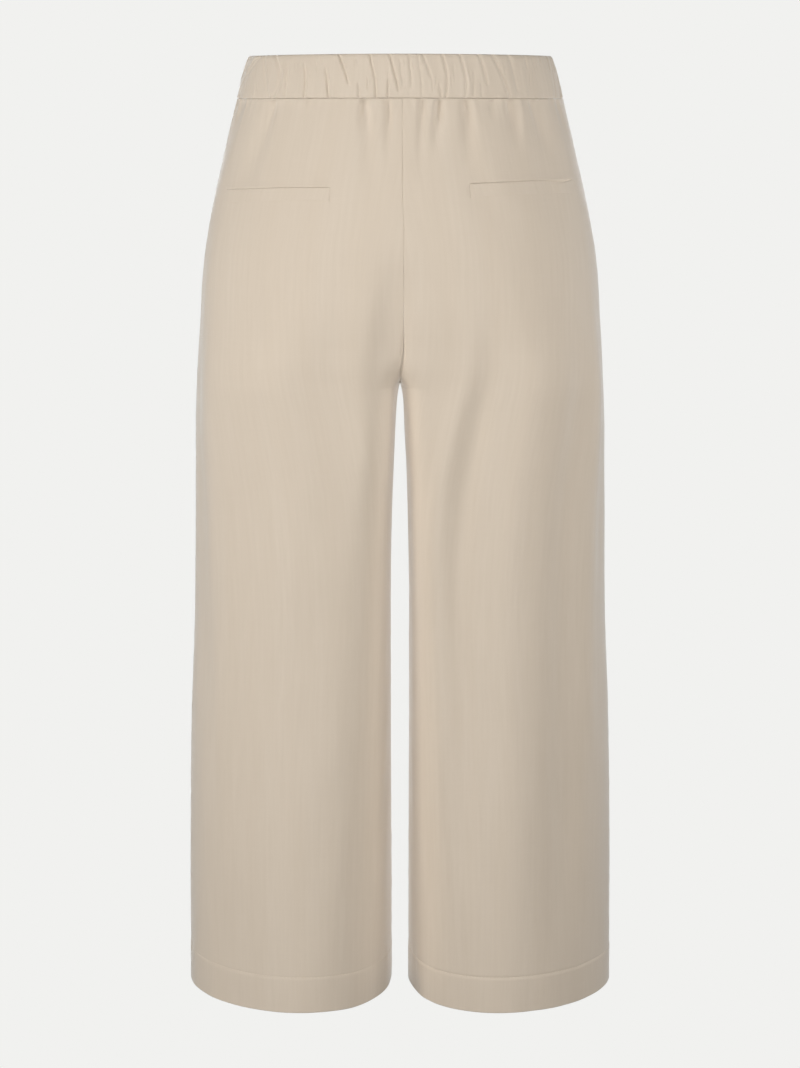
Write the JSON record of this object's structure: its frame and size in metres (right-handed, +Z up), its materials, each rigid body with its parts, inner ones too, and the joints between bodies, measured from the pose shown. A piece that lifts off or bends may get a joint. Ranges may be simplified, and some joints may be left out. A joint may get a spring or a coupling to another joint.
{
  "type": "wide-leg trousers",
  "caption": "Wide-leg cropped pull-on trousers in light linen with a gathered elastic waistband and welt back pockets, filled out as if worn.",
  "frame": {"origin": "centre of the waist opening, at the level of the waistband's top edge at the sides", "axes": "+Z up, +Y the way the wearer faces, so the back is at -Y and the wearer's left is at -X"},
  "size_m": [0.41, 0.2329, 0.888],
  "materials": {
    "linen": "soft sheen, fine slub weave",
    "linen_gathered": "soft sheen, gathered over elastic",
    "linen_welt": "soft sheen, pressed"
  },
  "bodies": {
    "root": {"back_left": "linen", "back_right": "linen", "front_left": "linen", "front_right": "linen", "waistband": "linen_gathered", "welt_left": "linen_welt", "welt_right": "linen_welt"}
  },
  "joints": []
}
